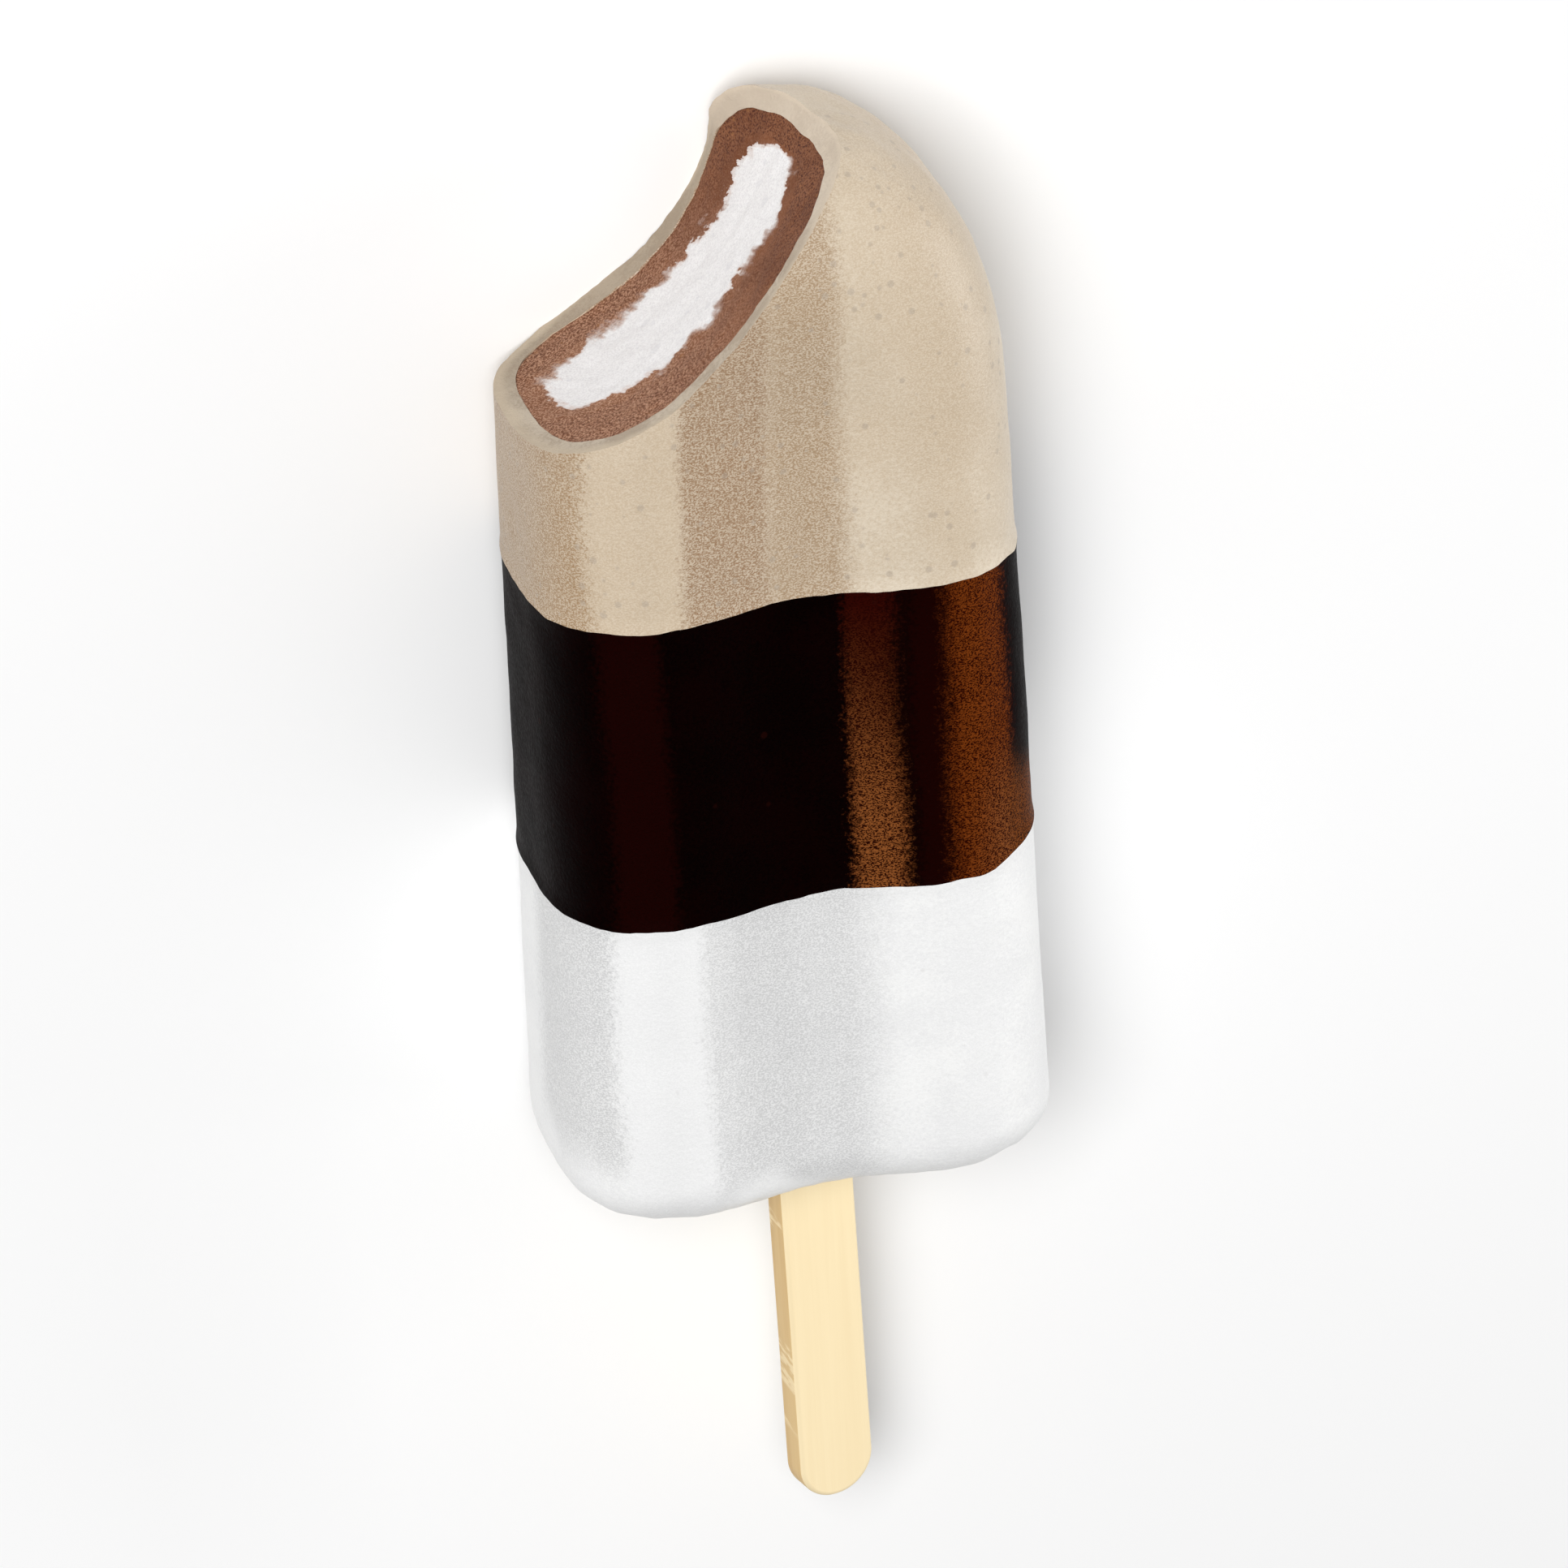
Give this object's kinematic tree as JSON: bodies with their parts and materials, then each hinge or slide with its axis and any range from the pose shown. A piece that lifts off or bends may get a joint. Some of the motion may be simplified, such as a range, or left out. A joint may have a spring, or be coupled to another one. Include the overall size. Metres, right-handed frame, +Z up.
{
  "type": "ice cream bar",
  "caption": "Ice cream bar on a wooden stick, coated in bands of beige, dark and white; a bite from its shoulder shows brown ice cream round a white core.",
  "frame": {"origin": "middle of the whole bar's bounding box, at the surface that it lies on", "axes": "+Y from the stick towards the bitten end, +Z up out of the shown side, +X across the bar to the right when the bitten end points away"},
  "size_m": [0.0466, 0.1406, 0.0302],
  "materials": {
    "white_coating": "satin white chocolate coating",
    "dark_coating": "glossy, nearly black chocolate coating",
    "beige_coating": "satin beige coating with small darker specks",
    "chocolate_ice_cream": "matt, grainy brown ice cream",
    "vanilla_ice_cream": "matt, finely grained white ice cream",
    "birch": "plain pale birch, sanded"
  },
  "bodies": {
    "root": {"coating_white": "white_coating", "coating_dark": "dark_coating", "coating_beige": "beige_coating", "chocolate_layer": "chocolate_ice_cream", "vanilla_core": "vanilla_ice_cream", "stick": "birch"}
  },
  "joints": []
}
